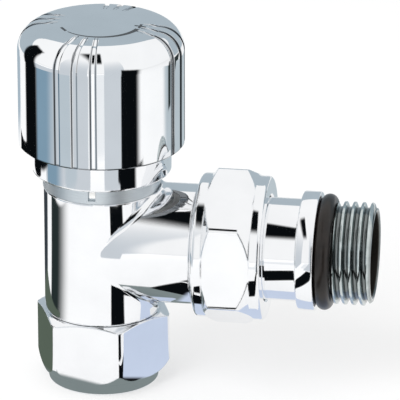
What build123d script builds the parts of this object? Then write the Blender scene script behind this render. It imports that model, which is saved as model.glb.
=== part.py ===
from build123d import *
import math
import os

# Angled radiator valve with a turning head, built as separate pieces in one frame.
# Origin: pipe mouth on the body axis. +Z runs up through the head, +X along the outlet.
# All sizes are millimetres. Heights are measured up from the pipe mouth.

os.makedirs("parts", exist_ok=True)

# Fits
seat_gap = 0.02  # between fixed faces that touch
slip_gap = 0.05  # radial, fixed round pieces one in another
thread_gap = 0.10  # radial, where a thread is left plain
run_gap = 0.05  # radial, stem in its guides
play_gap = 0.30  # between pieces that move past each other
turn_gap = 0.10  # axial, under the turning knob
weld = 0.3  # overlap of solids that join

# Setting travel
knob_lead = 4.0  # rise of the sensor in one turn of the knob
knob_swing = 135.0  # degrees each way from the middle setting
travel = knob_lead * knob_swing / 360

# Pipe end
pipe_r = 7.5
pipe_slip = 0.10
pipe_depth = 18.0
olive_wall = 1.15
spigot_wall = 1.65
socket_r = pipe_r + pipe_slip
olive_r = socket_r + olive_wall
spigot_r = olive_r + slip_gap + spigot_wall

# Body and branch
body_r = 11.8
body_wall = 2.8
branch_out = 0.4
branch_r = body_r + branch_out
branch_z = 30.0
body_foot_z = 15.6
crest_drop = 0.2
crotch_r = 1.6
crotch_over = 6.0  # the body is this much too tall until the crotch is rounded
spot_gap = 0.3
ring_out = 0.15
ring_r = body_r + ring_out
root_sink = 0.35
root_len = 6.0
branch_len = 19.5
branch_end_len = 8.0
branch_thread_in = 0.25
body_top_z = branch_z + branch_r - crest_drop
branch_thread_r = branch_r - branch_thread_in
branch_end_x = branch_len + branch_end_len
spigot_len = 10.1
spigot_foot_z = body_foot_z - spigot_len
waterway_r = 5.5
seat_drop = 7.5
seat_w = 1.3
seat_h = 1.0
seat_slope = 0.3
chamber_r = body_r - body_wall
plug_len = 5.0
bonnet_bore_step = 0.45
outlet_r = 6.5
branch_wall = 2.95
tail_socket_depth = 5.5
tail_socket_r = branch_thread_r - branch_wall
seat_z = branch_z - seat_drop
chamber_top_z = body_top_z - plug_len
bonnet_bore_r = chamber_r + bonnet_bore_step
tail_socket_x = branch_end_x - tail_socket_depth

# Compression nut and olive
nut_wall = 1.75
nut_edge_r = 1.8
nut_turn = -6.6
nut_lip_in = 1.1
nut_lip_h = 2.7
nut_lip_edge = 0.2
nut_foot_round = 4.0
nut_top_chamfer = 0.95
nut_body_gap = 0.1
nut_hole_gap = 0.1
nut_top_z = body_foot_z - nut_body_gap
nut_bore_r = spigot_r + thread_gap
nut_half = nut_bore_r + nut_wall
nut_lip_r = nut_half - nut_lip_in
nut_corner = nut_half / math.cos(math.pi / 6)
nut_hole_r = socket_r + nut_hole_gap
olive_flat = 1.4
olive_nose = 0.4
olive_taper = 1.3
olive_drop = 1.9
olive_foot_z = spigot_foot_z - olive_drop
olive_lo_z = olive_foot_z + olive_taper
olive_hi_z = olive_lo_z + olive_flat
olive_top_z = olive_hi_z + olive_taper
olive_slope = olive_taper / (olive_wall - olive_nose)

# Union nut
union_wall = 2.35
union_turn = 87.4
union_corner_r = 1.15
union_back = 0.5
union_len = 14.0
union_band_out = 0.15
union_band_edge = 0.7
union_band_sink = 0.4
union_band_len = 2.3
union_lip_len = 2.2
union_cone_len = 1.5
union_lip_cone_len = 2.4
union_edge = 0.35
union_wall_len = 3.0
union_hole_gap = 0.3
union_x = branch_len + union_back
union_end_x = union_x + union_len
union_bore_r = branch_thread_r + thread_gap
union_half = union_bore_r + union_wall
union_corner = union_half / math.cos(math.pi / 6)
union_band_r = union_half + union_band_out
union_hex_x = union_x + union_band_len
union_hex_end_x = union_end_x - union_lip_len
union_wall_x = union_end_x - union_wall_len

# Tailpiece
tail_in = 1.6
tail_len = 6.7
tail_bore_r = 6.0
tail_face_gap = 0.05
tail_end_gap = 0.6
tail_slip = 0.15
tail_ring_wire = 0.70
tail_ring_in = 2.4
tail_groove_len = 1.7
snap_len = 1.5
snap_depth = 0.75
snap_out = 1.25
split_w = 2.4
split_reach = 6.0
flange_in = 0.17
flange_len = 3.6
flange_edge = 0.35
ring_wire_r = 1.58
ring_neck_in = 1.85
thread_in = 1.63
thread_len = 8.1
thread_lead_in = 0.9
thread_start = 0.6
key_af = 12.3
key_len = 8.0
mouth_wall = 1.9
mouth_edge = 0.45
mouth_len = 6.6
tail_r = branch_thread_r - tail_in
flange_r = branch_r - flange_in
thread_r = flange_r - thread_in
mouth_r = thread_r - mouth_wall
tail_hole_r = tail_r + union_hole_gap
tail_spigot_r = tail_socket_r - tail_slip
tail_x = tail_socket_x + tail_end_gap
tail_face_x = branch_end_x + tail_face_gap
tail_ring_x = tail_x + tail_ring_in
tail_groove_r = tail_socket_r - slip_gap - 2 * tail_ring_wire
snap_end_x = union_wall_x + seat_gap
snap_x = snap_end_x - snap_len
snap_r = tail_r - snap_depth
flange_x = union_end_x + tail_len
flange_end_x = flange_x + flange_len
thread_x = flange_end_x + 2 * ring_wire_r + 2 * seat_gap
tail_end_x = thread_x + thread_len
ring_neck_r = thread_r - ring_neck_in
mouth_x = tail_end_x - mouth_len
key_x = mouth_x - key_len
key_corner = key_af / 2 / math.cos(math.pi / 6)

# Bonnet
neck_in = 0.95
neck_len = 8.0
neck_edge = 0.4
bonnet_web = 2.0
bonnet_cavity_r = 4.2
plug_ring_wire = 0.58
plug_ring_up = 2.6
plug_groove_len = 1.5
neck_r = ring_r - neck_in
neck_top_z = body_top_z + neck_len
plug_r = bonnet_bore_r - slip_gap
plug_ring_z = chamber_top_z + plug_ring_up
plug_groove_r = bonnet_bore_r - slip_gap - 2 * plug_ring_wire
bonnet_web_z = chamber_top_z + bonnet_web
bonnet_shoulder_z = body_top_z + seat_gap

# Closing disc
shut_gap = 0.05  # left under the washer at the lowest setting
seal_h = 1.5
seal_r = 6.7
cup_wall = 0.55
cup_rim = 1.1
cup_plate = 1.0
cup_boss_r = 3.0
cup_boss_h = 1.4
screw_r = 0.9
screw_len = 3.4
screw_tip = 0.6
screw_head_r = 2.2
screw_head_h = 0.8
screw_slot = 0.6
seal_z = seat_z + travel + shut_gap
cup_floor_z = seal_z + seal_h + seat_gap
cup_top_z = cup_floor_z + cup_plate
cup_boss_z = cup_top_z + cup_boss_h
cup_r = seal_r + slip_gap + cup_wall

# Stem, clip, return spring and gland
stem_r = 1.6
stem_up = 6.0
stem_edge = 0.4
clip_h = 0.8
clip_r = 3.6
clip_depth = 0.4
clip_slot = 1.6
spring_wire_r = 0.35
spring_coil_r = 2.9
spring_turns = 4.0
spring_len = 5.5
gland_af = 12.0
gland_h = 3.0
gland_ring_wire = 0.70
gland_pocket_len = 1.5
stem_foot_z = cup_boss_z + seat_gap
stem_top_z = neck_top_z + stem_up
clip_z = bonnet_web_z + spring_len
spring_rise = spring_len - 2 * spring_wire_r - 2 * slip_gap
gland_corner = gland_af / 2 / math.cos(math.pi / 6)
gland_plug_r = bonnet_cavity_r - slip_gap
gland_hole_r = stem_r + 2 * run_gap
gland_ring_r = stem_r + run_gap + gland_ring_wire
gland_pocket_r = gland_ring_r + gland_ring_wire + slip_gap
gland_foot_z = clip_z + clip_h + travel + 2 * play_gap
gland_top_z = neck_top_z + gland_h

# Index ring and its tab
ring_h = 3.4
ring_edge = 0.2
notch_w = 1.5
notch_h = 2.2
notch_depth = 0.65
notch_top = 0.45
tab_w = 1.15
tab_h = 1.4
tab_proud = 0.15
ring_z = body_top_z + seat_gap
ring_top_z = ring_z + ring_h
notch_z = ring_top_z - notch_top

# Collar and head base
collar_wall = 2.95
collar_h = 7.8
collar_edge = 0.25
base_flange_h = 2.1
base_in = 1.0
base_wall = 1.6
guide_w = 3.2
guide_gap = 0.2
guide_up = 4.6
base_r = neck_r - base_in
collar_z = ring_top_z + slip_gap
collar_top_z = collar_z + collar_h
collar_bore_r = neck_r + slip_gap
collar_r = collar_bore_r + collar_wall
collar_hole_r = base_r + slip_gap
base_in_r = base_r - base_wall
base_flange_r = neck_r - slip_gap
base_foot_z = neck_top_z + seat_gap
base_flange_z = base_foot_z + base_flange_h
collar_lip_z = base_flange_z + seat_gap
guide_z = neck_top_z + guide_up

# Knob bearing
washer_h = 0.7
washer_in = 1.4
hub_web = 1.6
hub_skirt_h = 4.0
hub_skirt_w = 1.3
knob_clip_h = 0.8
knob_clip_depth = 0.6
knob_clip_out = 1.6
washer_r = collar_r - washer_in
washer_z = collar_top_z + seat_gap
hub_z = washer_z + washer_h + turn_gap
hub_web_z = hub_z + hub_web
hub_top_z = hub_web_z + hub_skirt_h
hub_hole_r = base_r + play_gap
knob_clip_z = hub_web_z + play_gap
knob_clip_top_z = knob_clip_z + knob_clip_h
knob_clip_in_r = base_r - knob_clip_depth
knob_clip_r = base_r + knob_clip_out

# Sensor
carrier_wall = 2.25
capsule_h = 9.0
capsule_edge = 0.6
capsule_slip = 0.15
capsule_clip_h = 0.7
capsule_clip_out = 0.65
capsule_clip_w = 2.2
capsule_clip_up = 0.4
piston_r = 1.5
piston_in = 3.0
over_wire_r = 0.45
over_coil_r = 3.6
over_turns = 2.5
over_len = 3.5
carrier_up = 0.4
carrier_gap = 0.4
carrier_roof = 1.5
lug_up = 1.0
lug_h = 2.4
lug_in = 0.7
carrier_r = base_in_r - carrier_gap
carrier_in_r = carrier_r - carrier_wall
capsule_r = carrier_in_r - capsule_slip
capsule_clip_r = carrier_in_r + capsule_clip_out
carrier_z = stem_top_z + carrier_up
capsule_clip_z = carrier_z + capsule_clip_up
capsule_z = capsule_clip_z + capsule_clip_h + seat_gap
capsule_top_z = capsule_z + capsule_h
carrier_in_top_z = capsule_top_z + over_len
carrier_top_z = carrier_in_top_z + carrier_roof
over_rise = over_len - 2 * over_wire_r - 2 * slip_gap
lug_z = carrier_z + lug_up
lug_top_z = lug_z + lug_h
lug_r = base_r - lug_in
base_top_z = lug_top_z + travel

# Knob
knob_gap = 1.0
knob_wall = 1.7
knob_h = 25.3
knob_drop = 2.05
knob_roof = 2.4
knob_in_edge = 1.6
knob_shoulder_r = 5.0
knob_crown_r = 120.0
knob_rim_edge = 0.3
groove_w = 1.1
groove_depth = 0.35
groove_end_r = 8.0
groove_groups = 4
groove_count = 3
groove_pitch = 13.2
groove_turn = -98.8
sleeve_in_gap = 0.15
sleeve_wall = 1.4
boss_wall = 1.6
boss_len = 7.0
knob_z = collar_top_z - knob_drop
knob_top_z = knob_z + knob_h
knob_in_top_z = knob_top_z - knob_roof
knob_in_r = collar_r + knob_gap
knob_r = knob_in_r + knob_wall
sleeve_in_r = carrier_r + sleeve_in_gap
sleeve_r = sleeve_in_r + sleeve_wall
sleeve_z = base_top_z + 2 * play_gap
sleeve_top_z = knob_in_top_z - seat_gap
boss_in_r = sleeve_r + slip_gap
boss_r = boss_in_r + boss_wall
shoulder_x = knob_r - knob_shoulder_r
crown_z = knob_top_z - knob_crown_r
shoulder_z = crown_z + math.sqrt((knob_crown_r - knob_shoulder_r) ** 2 - shoulder_x ** 2)
crown_lean = math.asin(shoulder_x / (knob_crown_r - knob_shoulder_r))
groove_shoulder_r = knob_shoulder_r - groove_depth
groove_floor_r = knob_r - groove_depth

outlet_axis = Axis((0, 0, branch_z), (1, 0, 0))

# Valve body
with BuildPart() as valve_body:
    with BuildSketch(Plane.XY.offset(body_foot_z - crotch_over)):
        Circle(body_r)
    extrude(amount=body_top_z - body_foot_z + 2 * crotch_over)
    with BuildSketch(Plane.XZ):
        with BuildLine():
            Line((0, branch_z), (branch_len, branch_z))
            Line((branch_len, branch_z), (branch_len, branch_z + branch_r))
            Line((branch_len, branch_z + branch_r), (root_len, branch_z + branch_r))
            Spline(
                (root_len, branch_z + branch_r),
                (0, branch_z + body_r - root_sink),
                tangents=((-1, 0), (-1, -0.22)),
            )
            Line((0, branch_z + body_r - root_sink), (0, branch_z))
        make_face()
    revolve(axis=outlet_axis)
    seam = []
    for edge in valve_body.edges():
        if edge.geom_type not in (GeomType.CIRCLE, GeomType.LINE) and abs(edge.center().Y) > 0.5:
            seam.append(edge)
    fillet(seam, crotch_r)
    with BuildSketch(Plane.XY.offset(body_top_z)):
        Circle(ring_r + spot_gap)
    extrude(amount=2 * crotch_over, mode=Mode.SUBTRACT)
    with BuildSketch(Plane.XY.offset(body_foot_z)):
        Circle(2 * body_r)
    extrude(amount=-2 * crotch_over, mode=Mode.SUBTRACT)
    with BuildSketch(Plane.XY.offset(spigot_foot_z)):
        Circle(spigot_r)
    extrude(amount=body_foot_z - spigot_foot_z + weld)
    with BuildSketch(Plane.YZ.offset(branch_len - weld)):
        with Locations((0, branch_z)):
            Circle(branch_thread_r)
    extrude(amount=branch_end_len + weld)
    with BuildSketch(Plane.XZ):
        with BuildLine():
            Polyline(
                (0, spigot_foot_z - 1),
                (olive_r + slip_gap, spigot_foot_z - 1),
                (olive_r + slip_gap, olive_hi_z),
                (socket_r, olive_hi_z + (olive_wall + slip_gap) * olive_slope),
                (socket_r, pipe_depth),
                (waterway_r, pipe_depth),
                (waterway_r, seat_z),
                (waterway_r + seat_w, seat_z),
                (waterway_r + seat_w + seat_slope, seat_z - seat_h),
                (chamber_r, seat_z - seat_h),
                (chamber_r, chamber_top_z),
                (bonnet_bore_r, chamber_top_z),
                (bonnet_bore_r, body_top_z + 1),
                (0, body_top_z + 1),
                close=True,
            )
        make_face()
    revolve(axis=Axis.Z, mode=Mode.SUBTRACT)
    with BuildSketch(Plane.XZ):
        with BuildLine():
            Polyline(
                (0, branch_z),
                (0, branch_z + outlet_r),
                (tail_socket_x, branch_z + outlet_r),
                (tail_socket_x, branch_z + tail_socket_r),
                (branch_end_x + 1, branch_z + tail_socket_r),
                (branch_end_x + 1, branch_z),
                close=True,
            )
        make_face()
    revolve(axis=outlet_axis, mode=Mode.SUBTRACT)

# Compression nut
with BuildPart() as compression_nut:
    with BuildSketch(Plane.XY.offset(nut_lip_h)) as nut_outline:
        RegularPolygon(nut_corner, 6, rotation=nut_turn)
        fillet(nut_outline.vertices(), nut_edge_r)
    extrude(amount=nut_top_z - nut_lip_h)
    with BuildSketch(Plane.XZ):
        with BuildLine():
            TangentArc(
                (nut_corner, nut_lip_h + nut_foot_round),
                (nut_half, nut_lip_h),
                tangent=(0, -1),
            )
            Polyline(
                (nut_half, nut_lip_h),
                (0, nut_lip_h),
                (0, nut_top_z),
                (nut_half, nut_top_z),
                (nut_corner, nut_top_z - nut_top_chamfer),
                (nut_corner, nut_lip_h + nut_foot_round),
            )
        make_face()
    revolve(axis=Axis.Z, mode=Mode.INTERSECT)
    with BuildSketch(Plane.XZ):
        with BuildLine():
            Polyline(
                (0, 0),
                (nut_lip_r - nut_lip_edge, 0),
                (nut_lip_r, nut_lip_edge),
                (nut_lip_r, nut_lip_h + 1),
                (0, nut_lip_h + 1),
                close=True,
            )
        make_face()
    revolve(axis=Axis.Z)
    with BuildSketch(Plane.XZ):
        with BuildLine():
            Polyline(
                (0, -1),
                (nut_hole_r, -1),
                (nut_hole_r, olive_lo_z + (nut_hole_r - olive_r - slip_gap) * olive_slope),
                (olive_r + slip_gap, olive_lo_z),
                (nut_bore_r, olive_lo_z),
                (nut_bore_r, nut_top_z + 1),
                (0, nut_top_z + 1),
                close=True,
            )
        make_face()
    revolve(axis=Axis.Z, mode=Mode.SUBTRACT)

# Olive
with BuildPart() as olive:
    with BuildSketch(Plane.XZ):
        with BuildLine():
            Polyline(
                (socket_r, olive_foot_z),
                (socket_r + olive_nose, olive_foot_z),
                (olive_r, olive_lo_z),
                (olive_r, olive_hi_z),
                (socket_r + olive_nose, olive_top_z),
                (socket_r, olive_top_z),
                close=True,
            )
        make_face()
    revolve(axis=Axis.Z)

# Union nut
with BuildPart() as union_nut:
    with BuildSketch(Plane.YZ.offset(union_hex_x)) as union_outline:
        with Locations((0, branch_z)):
            RegularPolygon(union_corner, 6, rotation=union_turn)
        fillet(union_outline.vertices(), union_corner_r)
    extrude(amount=union_hex_end_x - union_hex_x)
    with BuildSketch(Plane.XZ):
        with BuildLine():
            Polyline(
                (union_hex_x, branch_z),
                (union_hex_x, branch_z + union_band_r),
                (union_hex_x + union_cone_len, branch_z + union_corner),
                (union_hex_end_x - union_lip_cone_len, branch_z + union_corner),
                (union_hex_end_x, branch_z + union_band_r),
                (union_hex_end_x, branch_z),
                close=True,
            )
        make_face()
    revolve(axis=outlet_axis, mode=Mode.INTERSECT)
    with BuildSketch(Plane.XZ):
        with BuildLine():
            Line((union_x, branch_z), (union_x, branch_z + union_band_r - union_band_edge))
            TangentArc(
                (union_x, branch_z + union_band_r - union_band_edge),
                (union_x + union_band_edge, branch_z + union_band_r),
                tangent=(0, 1),
            )
            Polyline(
                (union_x + union_band_edge, branch_z + union_band_r),
                (union_hex_x, branch_z + union_band_r),
                (union_hex_x, branch_z + union_half - union_band_sink),
                (union_hex_end_x, branch_z + union_half - union_band_sink),
                (union_hex_end_x, branch_z + union_band_r),
                (union_end_x - union_band_edge, branch_z + union_band_r),
            )
            TangentArc(
                (union_end_x - union_band_edge, branch_z + union_band_r),
                (union_end_x, branch_z + union_band_r - union_band_edge),
                tangent=(1, 0),
            )
            Line((union_end_x, branch_z + union_band_r - union_band_edge), (union_end_x, branch_z))
            Line((union_end_x, branch_z), (union_x, branch_z))
        make_face()
    revolve(axis=outlet_axis)
    with BuildSketch(Plane.XZ):
        with BuildLine():
            Polyline(
                (union_x - 1, branch_z),
                (union_x - 1, branch_z + union_bore_r + union_edge),
                (union_x, branch_z + union_bore_r + union_edge),
                (union_x + union_edge, branch_z + union_bore_r),
                (union_wall_x, branch_z + union_bore_r),
                (union_wall_x, branch_z + tail_hole_r),
                (union_end_x - union_edge, branch_z + tail_hole_r),
                (union_end_x, branch_z + tail_hole_r + union_edge),
                (union_end_x + 1, branch_z + tail_hole_r + union_edge),
                (union_end_x + 1, branch_z),
                close=True,
            )
        make_face()
    revolve(axis=outlet_axis, mode=Mode.SUBTRACT)

# Tailpiece, with a plain cylinder where the thread runs
with BuildPart() as tailpiece:
    with BuildSketch(Plane.XZ):
        with BuildLine():
            Polyline(
                (tail_x, branch_z + tail_bore_r),
                (tail_x, branch_z + tail_spigot_r),
                (tail_ring_x - tail_groove_len / 2, branch_z + tail_spigot_r),
                (tail_ring_x - tail_groove_len / 2, branch_z + tail_groove_r),
                (tail_ring_x + tail_groove_len / 2, branch_z + tail_groove_r),
                (tail_ring_x + tail_groove_len / 2, branch_z + tail_spigot_r),
                (tail_face_x, branch_z + tail_spigot_r),
                (tail_face_x, branch_z + tail_r),
                (snap_x, branch_z + tail_r),
                (snap_x, branch_z + snap_r),
                (snap_end_x, branch_z + snap_r),
                (snap_end_x, branch_z + tail_r),
                (flange_x, branch_z + tail_r),
                (flange_x, branch_z + flange_r - flange_edge),
                (flange_x + flange_edge, branch_z + flange_r),
                (flange_end_x - flange_edge, branch_z + flange_r),
                (flange_end_x, branch_z + flange_r - flange_edge),
                (flange_end_x, branch_z + ring_neck_r),
                (thread_x, branch_z + ring_neck_r),
                (thread_x, branch_z + thread_r - thread_start),
                (thread_x + thread_start, branch_z + thread_r),
                (tail_end_x - thread_lead_in, branch_z + thread_r),
                (tail_end_x, branch_z + thread_r - thread_lead_in),
                (tail_end_x, branch_z + mouth_r + mouth_edge),
                (tail_end_x - mouth_edge, branch_z + mouth_r),
                (mouth_x, branch_z + mouth_r),
                (mouth_x - mouth_r + tail_bore_r, branch_z + tail_bore_r),
                close=True,
            )
        make_face()
    revolve(axis=outlet_axis)
    with BuildSketch(Plane.YZ.offset(key_x)):
        with Locations((0, branch_z)):
            RegularPolygon(key_corner, 6, rotation=union_turn)
    extrude(amount=key_len, mode=Mode.SUBTRACT)

# Radiator ring, union ring and snap ring
with BuildPart() as radiator_o_ring:
    with BuildSketch(Plane.XZ):
        with Locations((flange_end_x + seat_gap + ring_wire_r, branch_z + ring_neck_r + seat_gap + ring_wire_r)):
            Circle(ring_wire_r)
    revolve(axis=outlet_axis)

with BuildPart() as union_o_ring:
    with BuildSketch(Plane.XZ):
        with Locations((tail_ring_x, branch_z + tail_groove_r + seat_gap + tail_ring_wire)):
            Circle(tail_ring_wire)
    revolve(axis=outlet_axis)

with BuildPart() as union_snap_ring:
    with BuildSketch(Plane.YZ.offset(snap_x + seat_gap)):
        with Locations((0, branch_z)):
            Circle(snap_r + snap_depth + snap_out)
            Circle(snap_r + seat_gap, mode=Mode.SUBTRACT)
        with Locations((0, branch_z - snap_r - snap_out)):
            Rectangle(split_w, split_reach, mode=Mode.SUBTRACT)
    extrude(amount=snap_len - 3 * seat_gap)

# Bonnet and its ring
with BuildPart() as bonnet:
    with BuildSketch(Plane.XZ):
        with BuildLine():
            Polyline(
                (stem_r + run_gap, chamber_top_z + seat_gap),
                (plug_r, chamber_top_z + seat_gap),
                (plug_r, plug_ring_z - plug_groove_len / 2),
                (plug_groove_r, plug_ring_z - plug_groove_len / 2),
                (plug_groove_r, plug_ring_z + plug_groove_len / 2),
                (plug_r, plug_ring_z + plug_groove_len / 2),
                (plug_r, bonnet_shoulder_z),
                (neck_r, bonnet_shoulder_z),
                (neck_r, neck_top_z - neck_edge),
                (neck_r - neck_edge, neck_top_z),
                (bonnet_cavity_r, neck_top_z),
                (bonnet_cavity_r, bonnet_web_z),
                (stem_r + run_gap, bonnet_web_z),
                close=True,
            )
        make_face()
    revolve(axis=Axis.Z)

with BuildPart() as bonnet_o_ring:
    with BuildSketch(Plane.XZ):
        with Locations((plug_groove_r + seat_gap + plug_ring_wire, plug_ring_z)):
            Circle(plug_ring_wire)
    revolve(axis=Axis.Z)

# Gland nut and its ring
with BuildPart() as gland_nut:
    with BuildSketch(Plane.XY.offset(neck_top_z + seat_gap)):
        RegularPolygon(gland_corner, 6)
    extrude(amount=gland_h)
    with BuildSketch(Plane.XY.offset(gland_foot_z)):
        Circle(gland_plug_r)
    extrude(amount=neck_top_z + gland_h / 2 - gland_foot_z)
    with BuildSketch(Plane.XY.offset(gland_foot_z)):
        Circle(gland_pocket_r)
    extrude(amount=gland_pocket_len, mode=Mode.SUBTRACT)
    with BuildSketch(Plane.XY.offset(gland_foot_z)):
        Circle(gland_hole_r)
    extrude(amount=gland_top_z + 1 - gland_foot_z, mode=Mode.SUBTRACT)

with BuildPart() as gland_o_ring:
    with BuildSketch(Plane.XZ):
        with Locations((gland_ring_r, gland_foot_z + gland_pocket_len - seat_gap - gland_ring_wire)):
            Circle(gland_ring_wire)
    revolve(axis=Axis.Z)

# Stem, its clip and the return spring
with BuildPart() as spindle:
    with BuildSketch(Plane.XZ):
        with BuildLine():
            Polyline(
                (0, stem_foot_z + screw_len + screw_tip),
                (screw_r + slip_gap, stem_foot_z + screw_len),
                (screw_r + slip_gap, stem_foot_z),
                (stem_r, stem_foot_z),
                (stem_r, clip_z),
                (stem_r - clip_depth, clip_z),
                (stem_r - clip_depth, clip_z + clip_h),
                (stem_r, clip_z + clip_h),
                (stem_r, stem_top_z - stem_edge),
                (stem_r - stem_edge, stem_top_z),
                (0, stem_top_z),
                close=True,
            )
        make_face()
    revolve(axis=Axis.Z)

with BuildPart() as spring_clip:
    with BuildSketch(Plane.XY.offset(clip_z + seat_gap)):
        Circle(clip_r)
        Circle(stem_r - clip_depth + seat_gap, mode=Mode.SUBTRACT)
        with Locations((clip_r, 0)):
            Rectangle(2 * clip_r - clip_slot, clip_slot, mode=Mode.SUBTRACT)
    extrude(amount=clip_h - 2 * seat_gap)

with BuildPart() as return_spring:
    with BuildLine() as spring_path:
        Helix(
            spring_rise / spring_turns,
            spring_rise,
            spring_coil_r,
            center=(0, 0, bonnet_web_z + spring_wire_r + slip_gap),
        )
    with BuildSketch(Plane(origin=spring_path.line @ 0, z_dir=spring_path.line % 0)):
        Circle(spring_wire_r)
    sweep(path=spring_path.line, is_frenet=True)

# Closing disc
with BuildPart() as disc_holder:
    with BuildSketch(Plane.XZ):
        with BuildLine():
            Polyline(
                (screw_r + slip_gap, cup_floor_z),
                (seal_r + slip_gap, cup_floor_z),
                (seal_r + slip_gap, cup_floor_z - cup_rim),
                (cup_r, cup_floor_z - cup_rim),
                (cup_r, cup_top_z),
                (cup_boss_r, cup_top_z),
                (cup_boss_r, cup_boss_z),
                (screw_r + slip_gap, cup_boss_z),
                close=True,
            )
        make_face()
    revolve(axis=Axis.Z)

with BuildPart() as disc_seal:
    with BuildSketch(Plane.XY.offset(seal_z)):
        Circle(seal_r)
        Circle(screw_r + slip_gap, mode=Mode.SUBTRACT)
    extrude(amount=seal_h)

with BuildPart() as seal_screw:
    with BuildSketch(Plane.XY.offset(seal_z - seat_gap - screw_head_h)):
        Circle(screw_head_r)
    extrude(amount=screw_head_h)
    with BuildSketch(Plane.XY.offset(seal_z - seat_gap)):
        Circle(screw_r)
    extrude(amount=stem_foot_z + screw_len - play_gap - seal_z)
    with BuildSketch(Plane.XY.offset(seal_z - seat_gap - screw_head_h)):
        Rectangle(2 * screw_head_r + 1, screw_slot)
    extrude(amount=screw_head_h / 2, mode=Mode.SUBTRACT)

# Index ring and tab
with BuildPart() as index_ring:
    with BuildSketch(Plane.XZ):
        with BuildLine():
            Polyline(
                (neck_r + slip_gap, ring_z),
                (ring_r - ring_edge, ring_z),
                (ring_r, ring_z + ring_edge),
                (ring_r, ring_top_z),
                (neck_r + slip_gap, ring_top_z),
                close=True,
            )
        make_face()
    revolve(axis=Axis.Z)
    with BuildSketch(Plane.XZ.offset(ring_r - notch_depth)):
        with Locations((0, notch_z - notch_h / 2)):
            Rectangle(notch_w, notch_h)
    extrude(amount=2, mode=Mode.SUBTRACT)

with BuildPart() as index_tab:
    with BuildSketch(Plane.XZ.offset(ring_r - notch_depth + seat_gap)):
        with Locations((notch_w / 2 - tab_w / 2 - seat_gap, notch_z - tab_h / 2 - seat_gap)):
            Rectangle(tab_w, tab_h)
    extrude(amount=notch_depth + tab_proud)

# Collar
with BuildPart() as collar:
    with BuildSketch(Plane.XZ):
        with BuildLine():
            Polyline(
                (collar_bore_r, collar_z),
                (collar_r - collar_edge, collar_z),
                (collar_r, collar_z + collar_edge),
                (collar_r, collar_top_z - collar_edge),
                (collar_r - collar_edge, collar_top_z),
                (collar_hole_r, collar_top_z),
                (collar_hole_r, collar_lip_z),
                (collar_bore_r, collar_lip_z),
                close=True,
            )
        make_face()
    revolve(axis=Axis.Z)

# Head base with its guide slots
with BuildPart() as head_base:
    with BuildSketch(Plane.XZ):
        with BuildLine():
            Polyline(
                (base_in_r, base_foot_z),
                (base_flange_r, base_foot_z),
                (base_flange_r, base_flange_z),
                (base_r, base_flange_z),
                (base_r, knob_clip_z),
                (knob_clip_in_r, knob_clip_z),
                (knob_clip_in_r, knob_clip_top_z),
                (base_r, knob_clip_top_z),
                (base_r, base_top_z),
                (base_in_r, base_top_z),
                close=True,
            )
        make_face()
    revolve(axis=Axis.Z)
    with BuildSketch(Plane.XY.offset(guide_z)):
        Rectangle(4 * base_r, guide_w)
    extrude(amount=base_top_z - guide_z + 1, mode=Mode.SUBTRACT)

with BuildPart() as thrust_washer:
    with BuildSketch(Plane.XY.offset(washer_z)):
        Circle(washer_r)
        Circle(base_r + slip_gap, mode=Mode.SUBTRACT)
    extrude(amount=washer_h)

with BuildPart() as knob_snap_ring:
    with BuildSketch(Plane.XY.offset(knob_clip_z + seat_gap)):
        Circle(knob_clip_r)
        Circle(knob_clip_in_r + seat_gap, mode=Mode.SUBTRACT)
        with Locations((0, -knob_clip_r)):
            Rectangle(split_w, split_reach, mode=Mode.SUBTRACT)
    extrude(amount=knob_clip_h - 2 * seat_gap)

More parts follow.
